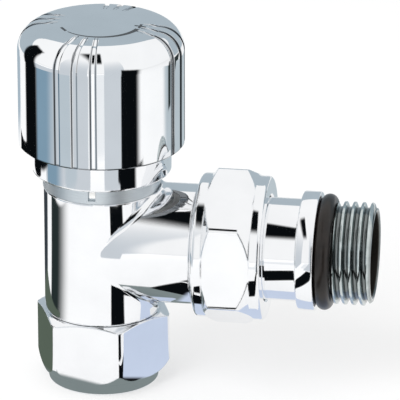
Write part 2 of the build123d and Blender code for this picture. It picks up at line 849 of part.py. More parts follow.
# Knob with its groups of finger grooves
with BuildPart() as knob:
    with BuildSketch(Plane.XZ):
        with BuildLine():
            Line((0, knob_z), (knob_r - knob_rim_edge, knob_z))
            Line((knob_r - knob_rim_edge, knob_z), (knob_r, knob_z + knob_rim_edge))
            Line((knob_r, knob_z + knob_rim_edge), (knob_r, shoulder_z))
            ThreePointArc(
                (knob_r, shoulder_z),
                (
                    shoulder_x + knob_shoulder_r * math.sin(math.pi / 4),
                    shoulder_z + knob_shoulder_r * math.cos(math.pi / 4),
                ),
                (
                    shoulder_x + knob_shoulder_r * math.sin(crown_lean),
                    shoulder_z + knob_shoulder_r * math.cos(crown_lean),
                ),
            )
            ThreePointArc(
                (
                    shoulder_x + knob_shoulder_r * math.sin(crown_lean),
                    shoulder_z + knob_shoulder_r * math.cos(crown_lean),
                ),
                (
                    knob_crown_r * math.sin(crown_lean / 2),
                    crown_z + knob_crown_r * math.cos(crown_lean / 2),
                ),
                (0, knob_top_z),
            )
            Line((0, knob_top_z), (0, knob_z))
        make_face()
    revolve(axis=Axis.Z)
    for group in range(groove_groups):
        for place in range(groove_count):
            turn = groove_turn + 360 / groove_groups * group + groove_pitch * (place - (groove_count - 1) / 2)
            across = math.radians(turn)
            groove_plane = Plane(
                origin=(0, 0, 0),
                x_dir=(math.cos(across), math.sin(across), 0),
                z_dir=(math.sin(across), -math.cos(across), 0),
            )
            with BuildSketch(groove_plane):
                with BuildLine():
                    Line((groove_floor_r, knob_z - 1), (groove_floor_r, shoulder_z))
                    ThreePointArc(
                        (groove_floor_r, shoulder_z),
                        (
                            shoulder_x + groove_shoulder_r * math.sin(math.pi / 4),
                            shoulder_z + groove_shoulder_r * math.cos(math.pi / 4),
                        ),
                        (shoulder_x, shoulder_z + groove_shoulder_r),
                    )
                    Line((shoulder_x, shoulder_z + groove_shoulder_r), (groove_end_r, knob_top_z))
                    Line((groove_end_r, knob_top_z), (groove_end_r, knob_top_z + 1))
                    Line((groove_end_r, knob_top_z + 1), (knob_r + 1, knob_top_z + 1))
                    Line((knob_r + 1, knob_top_z + 1), (knob_r + 1, knob_z - 1))
                    Line((knob_r + 1, knob_z - 1), (groove_floor_r, knob_z - 1))
                make_face()
    extrude(amount=groove_w / 2, both=True, mode=Mode.SUBTRACT)
    with BuildSketch(Plane.XZ):
        with BuildLine():
            Polyline(
                (0, knob_z - 1),
                (knob_in_r, knob_z - 1),
                (knob_in_r, knob_in_top_z - knob_in_edge),
                (knob_in_r - knob_in_edge, knob_in_top_z),
                (boss_r, knob_in_top_z),
                (boss_r, knob_in_top_z - boss_len),
                (boss_in_r, knob_in_top_z - boss_len),
                (boss_in_r, knob_in_top_z),
                (0, knob_in_top_z),
                close=True,
            )
        make_face()
    revolve(axis=Axis.Z, mode=Mode.SUBTRACT)

with BuildPart() as hub_ring:
    with BuildSketch(Plane.XZ):
        with BuildLine():
            Polyline(
                (hub_hole_r, hub_z),
                (knob_in_r - slip_gap, hub_z),
                (knob_in_r - slip_gap, hub_top_z),
                (knob_in_r - slip_gap - hub_skirt_w, hub_top_z),
                (knob_in_r - slip_gap - hub_skirt_w, hub_web_z),
                (hub_hole_r, hub_web_z),
                close=True,
            )
        make_face()
    revolve(axis=Axis.Z)

with BuildPart() as drive_sleeve:
    with BuildSketch(Plane.XY.offset(sleeve_z)):
        Circle(sleeve_r)
        Circle(sleeve_in_r, mode=Mode.SUBTRACT)
    extrude(amount=sleeve_top_z - sleeve_z)

# Sensor
with BuildPart() as sensor_carrier:
    with BuildSketch(Plane.XY.offset(carrier_z)):
        Circle(carrier_r)
    extrude(amount=carrier_top_z - carrier_z)
    with BuildSketch(Plane.XY.offset(lug_z)) as lugs:
        Circle(lug_r)
        Rectangle(4 * lug_r, guide_w - 2 * guide_gap, mode=Mode.INTERSECT)
    extrude(amount=lug_h)
    with BuildSketch(Plane.XY.offset(carrier_z)):
        Circle(carrier_in_r)
    extrude(amount=carrier_in_top_z - carrier_z, mode=Mode.SUBTRACT)
    with BuildSketch(Plane.XY.offset(capsule_clip_z)):
        Circle(capsule_clip_r + slip_gap)
    extrude(amount=capsule_clip_h, mode=Mode.SUBTRACT)

with BuildPart() as capsule_clip:
    with BuildSketch(Plane.XY.offset(capsule_clip_z + seat_gap)):
        Circle(capsule_clip_r)
        Circle(capsule_clip_r - capsule_clip_w, mode=Mode.SUBTRACT)
        with Locations((0, -capsule_clip_r)):
            Rectangle(split_w, split_reach, mode=Mode.SUBTRACT)
    extrude(amount=capsule_clip_h - 2 * seat_gap)

with BuildPart() as wax_capsule:
    with BuildSketch(Plane.XZ):
        with BuildLine():
            Polyline(
                (piston_r + slip_gap, capsule_z),
                (capsule_r, capsule_z),
                (capsule_r, capsule_top_z - capsule_edge),
                (capsule_r - capsule_edge, capsule_top_z),
                (0, capsule_top_z),
                (0, capsule_z + piston_in),
                (piston_r + slip_gap, capsule_z + piston_in),
                close=True,
            )
        make_face()
    revolve(axis=Axis.Z)

with BuildPart() as sensor_piston:
    with BuildSketch(Plane.XY.offset(stem_top_z + seat_gap)):
        Circle(piston_r)
    extrude(amount=capsule_z + piston_in - stem_top_z - 2 * seat_gap)

with BuildPart() as overload_spring:
    with BuildLine() as over_path:
        Helix(
            over_rise / over_turns,
            over_rise,
            over_coil_r,
            center=(0, 0, capsule_top_z + over_wire_r + slip_gap),
        )
    with BuildSketch(Plane(origin=over_path.line @ 0, z_dir=over_path.line % 0)):
        Circle(over_wire_r)
    sweep(path=over_path.line, is_frenet=True)

pieces = {
    "valve_body": valve_body,
    "compression_nut": compression_nut,
    "olive": olive,
    "union_nut": union_nut,
    "tailpiece": tailpiece,
    "radiator_o_ring": radiator_o_ring,
    "union_o_ring": union_o_ring,
    "union_snap_ring": union_snap_ring,
    "bonnet": bonnet,
    "bonnet_o_ring": bonnet_o_ring,
    "gland_nut": gland_nut,
    "gland_o_ring": gland_o_ring,
    "spindle": spindle,
    "spring_clip": spring_clip,
    "return_spring": return_spring,
    "disc_holder": disc_holder,
    "disc_seal": disc_seal,
    "seal_screw": seal_screw,
    "index_ring": index_ring,
    "index_tab": index_tab,
    "collar": collar,
    "head_base": head_base,
    "thrust_washer": thrust_washer,
    "knob_snap_ring": knob_snap_ring,
    "knob": knob,
    "hub_ring": hub_ring,
    "drive_sleeve": drive_sleeve,
    "sensor_carrier": sensor_carrier,
    "capsule_clip": capsule_clip,
    "wax_capsule": wax_capsule,
    "sensor_piston": sensor_piston,
    "overload_spring": overload_spring,
}
for piece_name, piece in pieces.items():
    piece.part.label = piece_name
    export_step(piece.part, "parts/" + piece_name + ".step")
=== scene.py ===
"""Looks of an angled radiator valve: chrome body, nuts and knob, threaded tail, satin ring."""

import logging
import math
from dataclasses import dataclass, field
from enum import Enum
from typing import Any, Dict, List, Optional, Sequence, Tuple

import bmesh
import bpy
from mathutils import Matrix, Vector


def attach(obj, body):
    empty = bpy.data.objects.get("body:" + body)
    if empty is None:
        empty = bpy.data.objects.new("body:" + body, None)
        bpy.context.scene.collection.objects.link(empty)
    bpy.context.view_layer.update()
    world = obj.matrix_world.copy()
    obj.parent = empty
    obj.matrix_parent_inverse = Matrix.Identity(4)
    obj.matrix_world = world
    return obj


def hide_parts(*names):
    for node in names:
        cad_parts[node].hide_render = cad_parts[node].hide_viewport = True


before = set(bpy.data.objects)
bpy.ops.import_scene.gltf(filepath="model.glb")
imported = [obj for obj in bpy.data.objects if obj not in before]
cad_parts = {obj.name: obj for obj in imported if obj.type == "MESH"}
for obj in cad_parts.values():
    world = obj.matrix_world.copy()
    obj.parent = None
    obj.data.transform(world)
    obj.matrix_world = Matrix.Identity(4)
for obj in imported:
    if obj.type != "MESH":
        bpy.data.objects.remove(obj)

LOG = logging.getLogger("radiator_valve")
MM = 0.001
NARROWEST = 1e-6
WHITE = (1.0, 1.0, 1.0)
Colour = Tuple[float, float, float]
Point = Tuple[float, float, float]


class Slot(Enum):
    """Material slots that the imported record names."""

    CHROME = "chrome"
    PLATED_KNOB = "plated_knob"
    SATIN = "satin_metal"
    WHITE_MARK = "white_mark"
    RUBBER = "dark_rubber"
    BRASS = "brass"
    STEEL = "steel"
    WHITE_PLASTIC = "white_plastic"


class Body(Enum):
    """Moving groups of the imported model."""

    VALVE = "valve"
    KNOB = "knob"
    SENSOR = "sensor"
    STEM = "stem"


class Wave:
    """One shader socket, with arithmetic that adds Math nodes to its tree."""

    def __init__(self, tree: "ShaderTree", socket: Any) -> None:
        """Keeps the tree and the socket that carries the value."""
        self.tree = tree
        self.socket = socket

    def _math(self, operation: str, *values: Any) -> "Wave":
        """Adds one Math node.

        Args:
            operation: The node's operation.
            values: Waves or numbers for its sockets, in order.

        Returns:
            The node's output.
        """
        return self.tree.node("ShaderNodeMath", {"operation": operation}, dict(enumerate(values)))

    def apply(self, operation: str, *more: Any) -> "Wave":
        """Adds a Math node that starts with this value.

        Args:
            operation: The node's operation.
            more: Waves or numbers for its other sockets.

        Returns:
            The node's output.
        """
        return self._math(operation, self, *more)

    def __add__(self, other: Any) -> "Wave":
        """Sum of two values."""
        return self._math("ADD", self, other)

    def __radd__(self, other: Any) -> "Wave":
        """Sum with a plain number on the left."""
        return self._math("ADD", other, self)

    def __sub__(self, other: Any) -> "Wave":
        """Difference of two values."""
        return self._math("SUBTRACT", self, other)

    def __rsub__(self, other: Any) -> "Wave":
        """Difference from a plain number on the left."""
        return self._math("SUBTRACT", other, self)

    def __mul__(self, other: Any) -> "Wave":
        """Product of two values."""
        return self._math("MULTIPLY", self, other)

    def __rmul__(self, other: Any) -> "Wave":
        """Product with a plain number on the left."""
        return self._math("MULTIPLY", other, self)


class ShaderTree:
    """Node tree of a material or world, filled through one method."""

    def __init__(self, owner: Any) -> None:
        """Empties the owner's tree.

        Args:
            owner: A material or a world.
        """
        owner.use_nodes = True
        self.tree = owner.node_tree
        self.tree.nodes.clear()

    def node(
        self,
        kind: str,
        settings: Optional[Dict[str, Any]] = None,
        inputs: Optional[Dict[Any, Any]] = None,
        output: Any = 0,
    ) -> Wave:
        """Adds one node.

        Args:
            kind: The node's type name.
            settings: Attributes set first; "stops" gives a ramp's positions and colours.
            inputs: Socket names or numbers, with values or Waves.
            output: Name or number of the output handed back.

        Returns:
            The chosen output as a Wave.
        """
        made = self.tree.nodes.new(kind)
        for name, value in (settings or {}).items():
            if name == "stops":
                ramp = made.color_ramp
                while len(ramp.elements) < len(value):
                    ramp.elements.new(1.0)
                for element, (position, colour) in zip(ramp.elements, value):
                    element.position = position
                    element.color = (*colour, 1.0)
            else:
                setattr(made, name, value)
        for name, value in (inputs or {}).items():
            if isinstance(value, Wave):
                self.tree.links.new(value.socket, made.inputs[name])
            else:
                made.inputs[name].default_value = value
        return Wave(self, made.outputs[output] if len(made.outputs) else None)

    def grain(self, scale: float, detail: float, stretch: Point = (1.0, 1.0, 1.0)) -> Wave:
        """Noise on the piece's own coordinates.

        Args:
            scale: Noise cells in a metre.
            detail: Octaves of the noise.
            stretch: Scale along each axis.

        Returns:
            A value from 0 to 1.
        """
        place = self.node("ShaderNodeTexCoord", output="Object")
        drawn = self.node("ShaderNodeMapping", {}, {"Vector": place, "Scale": stretch})
        inputs = {"Vector": drawn, "Scale": scale, "Detail": detail}
        return self.node("ShaderNodeTexNoise", {}, inputs)

    def axis(self, name: str, source: str = "Object") -> Wave:
        """One coordinate of the piece's own place, or of its UV map.

        Args:
            name: X, Y or Z.
            source: The coordinates it is taken from.

        Returns:
            The coordinate.
        """
        place = self.node("ShaderNodeTexCoord", output=source)
        return self.node("ShaderNodeSeparateXYZ", {}, {"Vector": place}, name)

    def blend(self, share: Wave, under: Wave, over: Colour) -> Wave:
        """Mixes a plain colour over another.

        Args:
            share: How much of the plain colour shows.
            under: The colour below it.
            over: The plain colour.

        Returns:
            The mixed colour.
        """
        inputs = {"Factor": share, 6: under, 7: (*over, 1.0)}
        return self.node("ShaderNodeMix", {"data_type": "RGBA"}, inputs, 2)

    def glow(self, colour: Colour) -> Wave:
        """A shader that shows a plain colour in any light."""
        return self.node("ShaderNodeEmission", {}, {"Color": (*colour, 1.0), "Strength": 1.0})

    def seen(self) -> Wave:
        """1 where the camera, a mirror or glass looks, and 0 for other rays."""
        total = self.node("ShaderNodeLightPath", output="Is Camera Ray")
        for kind in ("Is Glossy Ray", "Is Transmission Ray"):
            total = total + self.node("ShaderNodeLightPath", output=kind)
        return total

    def fade(self, value: Wave, width: float) -> Wave:
        """Soft step from 0 at zero to 1 at a width.

        Args:
            value: What grows from the edge inwards.
            width: Where the step ends.

        Returns:
            A value from 0 to 1.
        """
        inputs = {"Value": value, "From Max": max(width, NARROWEST)}
        return self.node("ShaderNodeMapRange", {"interpolation_type": "SMOOTHSTEP"}, inputs)


@dataclass(frozen=True)
class Finish:
    """A surface finish with a little life in its colour and gloss."""

    name: str
    dark: Colour
    light: Colour
    roughness: float
    spread: float = 0.02
    metallic: float = 0.0
    grain_scale: float = 120.0
    grain_detail: float = 3.0
    stretch: Point = (1.0, 1.0, 1.0)
    bump: float = 0.0
    bump_scale: float = 900.0
    bump_detail: float = 2.0
    bump_h: float = 0.02 * MM
    specular: float = 0.5
    edge: float = 0.0
    edge_samples: int = 8
    ramp: Tuple[float, float] = (0.3, 0.7)

    def material(self) -> bpy.types.Material:
        """Builds the finish once.

        Returns:
            The material, reused by name.
        """
        found = bpy.data.materials.get(self.name)
        if found is not None:
            return found
        made = bpy.data.materials.new(self.name)
        tree = ShaderTree(made)
        cloud = tree.grain(self.grain_scale, self.grain_detail, self.stretch)
        stops = list(zip(self.ramp, (self.dark, self.light)))
        colour = tree.node("ShaderNodeValToRGB", {"stops": stops}, {0: cloud})
        inputs: Dict[Any, Any] = {
            "Base Color": self.shade(tree, colour),
            "Roughness": self.gloss(tree, self.roughness + (cloud - 0.5) * self.spread),
            "Metallic": self.metallic,
            "Specular IOR Level": self.specular,
        }
        relief = self.relief(tree)
        if relief is not None:
            inputs["Normal"] = relief
        shader = tree.node("ShaderNodeBsdfPrincipled", {}, inputs)
        tree.node("ShaderNodeOutputMaterial", {}, {"Surface": shader})
        return made

    def shade(self, tree: ShaderTree, colour: Wave) -> Wave:
        """Base colour; a finish with painted shade changes it here."""
        return colour

    def gloss(self, tree: ShaderTree, roughness: Wave) -> Wave:
        """Roughness; a finish with dull places changes it here."""
        return roughness

    def relief(self, tree: ShaderTree) -> Optional[Wave]:
        """Rounds the edges to the eye and adds a fine grain.

        Args:
            tree: The material's tree.

        Returns:
            A normal, or None for a plain surface.
        """
        soft = None
        if self.edge > 0:
            settings = {"samples": self.edge_samples}
            soft = tree.node("ShaderNodeBevel", settings, {"Radius": self.edge})
        if self.bump > 0:
            inputs: Dict[Any, Any] = {"Strength": self.bump, "Distance": self.bump_h}
            inputs["Height"] = tree.grain(self.bump_scale, self.bump_detail, self.stretch)
            if soft is not None:
                inputs["Normal"] = soft
            return tree.node("ShaderNodeBump", {}, inputs)
        return soft


@dataclass(frozen=True)
class GroovedFinish(Finish):
    """Knob plating that rounds the edges of the grip grooves and paints shade along them and along
    its foot.
    """

    groups: int = 4
    pitch: float = math.radians(13.2)
    turn: float = math.radians(-98.8)
    wall_r: float = 16.7 * MM
    half_width: float = 0.55 * MM
    shade_line: float = 0.26 * MM
    shade_line_depth: float = 0.8
    # Colour of the painted shade lines at the groove edges and along the foot.
    shade_line_colour: Colour = (0.05, 0.06, 0.07)
    end_r: float = 8.6 * MM
    end_soft: float = 0.3 * MM
    end_push: float = 5.0 * MM
    foot_z: float = 51.22 * MM
    foot_shade_line: float = 0.5 * MM
    roll_from: float = 0.25 * MM
    roll_w: float = 0.6 * MM
    roll_h: float = 0.16 * MM

    def offset(self, tree: ShaderTree) -> Wave:
        """Distance round the knob from the middle of the nearest groove.

        Args:
            tree: The material's tree.

        Returns:
            The distance in metres, always positive.
        """
        x, y = tree.axis("X"), tree.axis("Y")
        half_group = math.pi / self.groups
        angle = (y.apply("ARCTAN2", x) - self.turn).apply("WRAP", half_group, -half_group)
        nearest = (angle * (1.0 / self.pitch)).apply("ROUND")
        number = nearest.apply("MINIMUM", 1.0).apply("MAXIMUM", -1.0)
        round_by = (angle - number * self.pitch).apply("ABSOLUTE") * self.wall_r
        reach = (x * x + y * y).apply("SQRT")
        inside = tree.fade(self.end_r - reach, self.end_soft)
        return round_by + inside * self.end_push

    def shade(self, tree: ShaderTree, colour: Wave) -> Wave:
        """Paints a thin line of shade at both edges of each groove and along the knob's foot.

        Args:
            tree: The material's tree.
            colour: The plain plating.

        Returns:
            The lined plating.
        """
        # Painted shade: a dark line at both edges of each groove, and another along the knob's
        # foot.
        from_edge = (self.offset(tree) - self.half_width).apply("ABSOLUTE")
        shade_line = tree.fade(self.shade_line - from_edge, self.shade_line) * self.shade_line_depth
        to_foot = self.foot_z + self.foot_shade_line - tree.axis("Z")
        foot = tree.fade(to_foot, self.foot_shade_line / 2) * self.shade_line_depth
        return tree.blend(shade_line.apply("MAXIMUM", foot), colour, self.shade_line_colour)

    def relief(self, tree: ShaderTree) -> Optional[Wave]:
        """Rolls the groove edges over so that they catch other parts of the room.

        Args:
            tree: The material's tree.

        Returns:
            The normal.
        """
        rise = tree.fade(self.offset(tree) - self.roll_from, self.roll_w)
        inputs = {"Strength": 1.0, "Distance": self.roll_h, "Height": rise}
        return tree.node("ShaderNodeBump", {}, inputs)


@dataclass(frozen=True)
class ThreadFinish(Finish):
    """Plating of a thread, with painted shade in its roots and in the bore, which is also dull."""

    axis_z: float = 30.0 * MM
    root_r: float = 9.35 * MM
    root_h: float = 0.75 * MM
    root_shade_depth: float = 0.8
    bore_r: float = 8.75 * MM
    bore_soft: float = 0.15 * MM
    bore_dull: float = 0.4
    # Colours of the painted shade in the thread's roots and in the bore.
    root_shade_colour: Colour = (0.10, 0.11, 0.11)
    bore_shade_colour: Colour = (0.035, 0.032, 0.028)

    def reach(self, tree: ShaderTree) -> Wave:
        """Distance from the outlet's axis.

        Args:
            tree: The material's tree.

        Returns:
            The distance in metres.
        """
        y, z = tree.axis("Y"), tree.axis("Z") - self.axis_z
        return (y * y + z * z).apply("SQRT")

    def bore(self, tree: ShaderTree) -> Wave:
        """Mask of the bore, 1 inside it."""
        return tree.fade(self.bore_r - self.reach(tree), self.bore_soft)

    def shade(self, tree: ShaderTree, colour: Wave) -> Wave:
        """Paints shade into the roots and the bore.

        Args:
            tree: The material's tree.
            colour: The plain plating.

        Returns:
            The plating with its painted shade.
        """
        # Painted shade in the roots, then in the bore.
        root_shade = 1.0 - tree.fade(self.reach(tree) - self.root_r, self.root_h)
        root_shaded = tree.blend(root_shade * self.root_shade_depth, colour, self.root_shade_colour)
        return tree.blend(self.bore(tree), root_shaded, self.bore_shade_colour)

    def gloss(self, tree: ShaderTree, roughness: Wave) -> Wave:
        """Roughens the bore."""
        return roughness + self.bore(tree) * self.bore_dull


CHROME = Finish(
    "mirror_chrome", (0.88, 0.89, 0.905), (0.93, 0.94, 0.955), 0.03, 0.02, 1.0, edge=0.45 * MM
)
KNOB_CHROME = GroovedFinish(
    "knob_chrome", (0.88, 0.895, 0.91), (0.93, 0.945, 0.96), 0.035, 0.02, 1.0
)
THREAD_CHROME = ThreadFinish(
    "thread_chrome", (0.46, 0.51, 0.51), (0.64, 0.69, 0.69), 0.13, 0.08, 1.0, 700.0
)
SATIN_RING = Finish(
    "satin_ring", (0.66, 0.71, 0.74), (0.72, 0.77, 0.80), 0.42, 0.06, 1.0, 300.0, 4.0, (1, 1, 9)
)
WHITE_TAB = Finish("white_tab", (0.86, 0.86, 0.84), (0.93, 0.93, 0.91), 0.32, 0.05)
RUBBER = Finish(
    "ring_rubber",
    (0.005, 0.004, 0.0035),
    (0.016, 0.012, 0.010),
    0.30,
    0.10,
    0.0,
    500.0,
    4.0,
    bump=0.15,
    specular=0.35,
)
BRASS = Finish("turned_brass", (0.60, 0.43, 0.18), (0.74, 0.56, 0.27), 0.24, 0.10, 1.0, 300.0)
STEEL = Finish("drawn_steel", (0.48, 0.49, 0.50), (0.60, 0.61, 0.62), 0.28, 0.10, 1.0, 400.0)
WHITE_PLASTIC = Finish("moulded_plastic", (0.78, 0.78, 0.76), (0.84, 0.84, 0.82), 0.42, 0.08)
MARK_INK = Finish("mark_ink", (0.020, 0.024, 0.028), (0.040, 0.045, 0.050), 0.38, 0.08)


def show(name: str, data: Any) -> bpy.types.Object:
    """Adds an object to the scene.

    Args:
        name: The object's name.
        data: Its mesh, light or camera.

    Returns:
        The new object.
    """
    made = bpy.data.objects.new(name, data)
    bpy.context.scene.collection.objects.link(made)
    return made


class Mesh:
    """One new piece, shaped with mesh operators in the frame's own place."""

    IN_PLANE = 0.001 * MM
    MEETS = 0.002 * MM
    SLIVER = 0.0002 * MM

    def __init__(self) -> None:
        """Starts an empty mesh."""
        self.bm = bmesh.new()

    def path(self, points: Sequence[Point], closed: bool = False) -> List[bmesh.types.BMEdge]:
        """Adds a chain of edges.

        Args:
            points: Places in metres.
            closed: Whether the last point joins the first.

        Returns:
            The new edges.
        """
        verts = [self.bm.verts.new(p) for p in points]
        pairs = list(zip(verts, verts[1:]))
        if closed:
            pairs.append((verts[-1], verts[0]))
        return [self.bm.edges.new(pair) for pair in pairs]

    def turn(
        self,
        edges: Sequence[bmesh.types.BMEdge],
        centre: Point,
        axis: Point,
        steps: int,
        lead: float = 0.0,
    ) -> None:
        """Spins edges through a full turn.

        Args:
            edges: The outline.
            centre: A point of the axis.
            axis: The axis direction.
            steps: Facets round the axis.
            lead: Travel along the axis in one turn, for a screw thread.
        """
        verts = {v for e in edges for v in e.verts}
        bmesh.ops.spin(
            self.bm,
            geom=[*verts, *edges],
            cent=centre,
            axis=axis,
            dvec=Vector(axis) * (lead / steps),
            angle=2 * math.pi,
            steps=steps,
            use_merge=lead == 0.0,
        )

    def rim(self, *places: float) -> List[bmesh.types.BMEdge]:
        """Open edges that lie in planes across the outlet's axis.

        Args:
            places: Where the planes cut the axis, in metres.

        Returns:
            The edges with one face each.
        """

        def lies_in(vert: bmesh.types.BMVert) -> bool:
            """Whether a point is in one of the planes."""
            return any(abs(vert.co.x - place) < self.IN_PLANE for place in places)

        return [e for e in self.bm.edges if e.is_boundary and all(map(lies_in, e.verts))]

    def bridge(self, *places: float) -> None:
        """Skins the gap between the two open rims in the given planes."""
        bmesh.ops.bridge_loops(self.bm, edges=self.rim(*places))

    def weld(self) -> None:
        """Merges points that meet."""
        bmesh.ops.remove_doubles(self.bm, verts=self.bm.verts, dist=self.MEETS)

    def close(self, sharp_deg: float = 35.0) -> None:
        """Joins doubles, turns faces outwards and marks the sharp edges.

        Args:
            sharp_deg: Fold past which an edge stays sharp.
        """
        self.weld()
        bmesh.ops.dissolve_degenerate(self.bm, edges=self.bm.edges, dist=self.SLIVER)
        bmesh.ops.recalc_face_normals(self.bm, faces=self.bm.faces)
        for face in self.bm.faces:
            face.smooth = True
        for edge in self.bm.edges:
            if len(edge.link_faces) == 2 and edge.calc_face_angle(0.0) > math.radians(sharp_deg):
                edge.smooth = False

    def piece(self, name: str, finish: Finish, body: Body) -> bpy.types.Object:
        """Hands the mesh over as an object that rides on a body.

        Args:
            name: The piece's name.
            finish: Its surface.
            body: The body that carries it.

        Returns:
            The new object.
        """
        data = bpy.data.meshes.new(name)
        self.bm.to_mesh(data)
        self.bm.free()
        data.materials.append(finish.material())
        made = show(name, data)
        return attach(made, body.value)


def dress(node: str, finish: Finish) -> None:
    """Gives a CAD node its finish.

    Args:
        node: The node's name.
        finish: Its surface.
    """
    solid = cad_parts[node]
    solid.data.materials.clear()
    solid.data.materials.append(finish.material())
    LOG.info("%s wears %s", node, finish.name)


@dataclass
class Casting:
    """The body, its two nuts and the pieces sealed inside them."""

    bright: Tuple[str, ...] = ("valve_body", "compression_nut", "union_nut")
    plain_brass: Tuple[str, ...] = ("olive", "bonnet", "gland_nut", "disc_holder")
    rings: Tuple[str, ...] = (
        "union_o_ring", "bonnet_o_ring", "gland_o_ring", "disc_seal", "radiator_o_ring",
    )
    springs: Tuple[str, ...] = (
        "union_snap_ring", "return_spring", "spindle", "spring_clip", "seal_screw",
    )

    def build(self) -> None:
        """Dresses every piece of the casting."""
        for node in self.bright:
            dress(node, CHROME)
        for node in self.plain_brass:
            dress(node, BRASS)
        for node in self.rings:
            dress(node, RUBBER)
        for node in self.springs:
            dress(node, STEEL)


@dataclass
class Tailpiece:
    """The outlet tail with its flange, and the screw thread for the radiator."""

    axis_z: float = 30.0 * MM
    pitch: float = 1.814 * MM
    crest_r: float = 10.40 * MM
    depth: float = 1.05 * MM
    start_x: float = 47.50 * MM
    end_x: float = 55.60 * MM
    lead_in: float = 0.9 * MM
    start_in: float = 0.6 * MM
    key_af: float = 12.3 * MM
    key_x: float = 41.0 * MM
    steps: int = 144
    facets: int = 16
    flank_slope: float = 1.6
    rim_gap: float = 0.03 * MM
    tail_outline: Tuple[Tuple[float, float], ...] = (
        (47.50, 8.55), (44.30, 8.55), (44.30, 11.68), (44.20, 11.93), (43.95, 12.03),
        (41.05, 12.03), (40.80, 11.93), (40.70, 11.68), (40.70, 10.35), (31.02, 10.35),
        (31.02, 9.60), (29.52, 9.60), (29.52, 10.35), (27.55, 10.35), (27.55, 8.85),
        (25.85, 8.85), (25.85, 7.55), (24.15, 7.55), (24.15, 8.85), (22.60, 8.85),
        (22.60, 6.00), (40.97, 6.00),
    )
    mouth_outline: Tuple[Tuple[float, float], ...] = (
        (47.50, 7.20), (49.00, 8.50), (55.15, 8.50), (55.60, 8.95),
    )

    def build(self) -> None:
        """Makes the tail and its thread in place of the plain solid.

        Rims that are bridged lie a hair apart along the axis, so that they pair the right way
        round.
        """
        tail = Mesh()
        self.lathe(tail, self.tail_outline)
        self.key(tail)
        tail.bridge(self.key_x, self.key_x - self.rim_gap)
        tail.bridge(self.start_x, self.start_x - self.rim_gap)
        tail.close(30.0)
        smooth_tail = tail.piece("outlet_tail", CHROME, Body.VALVE)
        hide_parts("tailpiece")
        screw = Mesh()
        self.thread(screw)
        self.lathe(screw, self.mouth_outline)
        screw.bridge(self.start_x, self.start_x + self.rim_gap)
        screw.bridge(self.end_x, self.end_x - self.rim_gap)
        screw.close(40.0)
        screw.piece("outlet_thread", THREAD_CHROME, Body.VALVE)
        LOG.info("outlet tail and thread stand in for the tailpiece")

    def lathe(self, mesh: Mesh, outline: Sequence[Tuple[float, float]]) -> None:
        """Turns an outline about the outlet's axis.

        Args:
            mesh: The piece it is added to.
            outline: Places along the axis and radii, in millimetres.
        """
        edges = mesh.path([(x * MM, 0.0, self.axis_z + r * MM) for x, r in outline])
        mesh.turn(edges, (0.0, 0.0, self.axis_z), (1.0, 0.0, 0.0), self.steps)

    def key(self, mesh: Mesh) -> None:
        """Adds the six-sided recess that a key holds the tail by.

        Args:
            mesh: The piece it is added to.
        """
        upright = Matrix.Rotation(math.pi / 2, 4, "Y")
        lay = Matrix.Translation((self.key_x, 0.0, self.axis_z)) @ upright
        corner_r = self.key_af / 2 / math.cos(math.pi / 6)
        made = bmesh.ops.create_circle(mesh.bm, segments=6, radius=corner_r, matrix=lay)
        sides = list({e for v in made["verts"] for e in v.link_edges})
        fine = bmesh.ops.subdivide_edges(mesh.bm, edges=sides, cuts=self.steps // 6 - 1)
        rim = [g for g in fine["geom"] if isinstance(g, bmesh.types.BMEdge)]
        grown = bmesh.ops.extrude_edge_only(mesh.bm, edges=rim)["geom"]
        moved = [g for g in grown if isinstance(g, bmesh.types.BMVert)]
        reach = self.start_x - self.rim_gap - self.key_x
        bmesh.ops.translate(mesh.bm, verts=moved, vec=(reach, 0.0, 0.0))

    def flank(self, share: float) -> float:
        """Radius of the thread at a share of its pitch.

        Args:
            share: 0 at one root, 0.5 at the crest, 1 at the next root.

        Returns:
            The radius in metres, rounded at root and crest.
        """
        rise = 1.0 - abs(2.0 * share - 1.0)
        lift = min(1.0, max(0.0, 0.5 + self.flank_slope * (rise - 0.5)))
        return self.crest_r - self.depth * (1.0 - lift * lift * (3.0 - 2.0 * lift))

    def thread(self, mesh: Mesh) -> None:
        """Winds the thread, cuts it to length and eases its two ends.

        Args:
            mesh: The piece it is added to.
        """
        turns = math.ceil((self.end_x - self.start_x) / self.pitch) + 3
        first_x = self.start_x - 1.5 * self.pitch
        outline = []
        for step in range(turns * self.facets + 1):
            share = step / self.facets
            radius = self.flank(share % 1.0)
            outline.append((first_x + share * self.pitch, 0.0, self.axis_z + radius))
        centre, along = (0.0, 0.0, self.axis_z), (1.0, 0.0, 0.0)
        mesh.turn(mesh.path(outline), centre, along, self.steps, self.pitch)
        mesh.weld()
        bm = mesh.bm
        for place, side in ((self.start_x + self.rim_gap, -1.0), (self.end_x - self.rim_gap, 1.0)):
            bmesh.ops.bisect_plane(
                bm,
                geom=[*bm.verts, *bm.edges, *bm.faces],
                plane_co=(place, 0.0, 0.0),
                plane_no=(side, 0.0, 0.0),
                clear_outer=True,
            )
        for vert in bm.verts:
            arm = Vector((vert.co.y, vert.co.z - self.axis_z))
            near_end = self.crest_r - self.lead_in + (self.end_x - vert.co.x)
            near_start = self.crest_r - self.start_in + (vert.co.x - self.start_x)
            arm *= min(1.0, near_end / arm.length, near_start / arm.length)
            vert.co.y, vert.co.z = arm.x, arm.y + self.axis_z


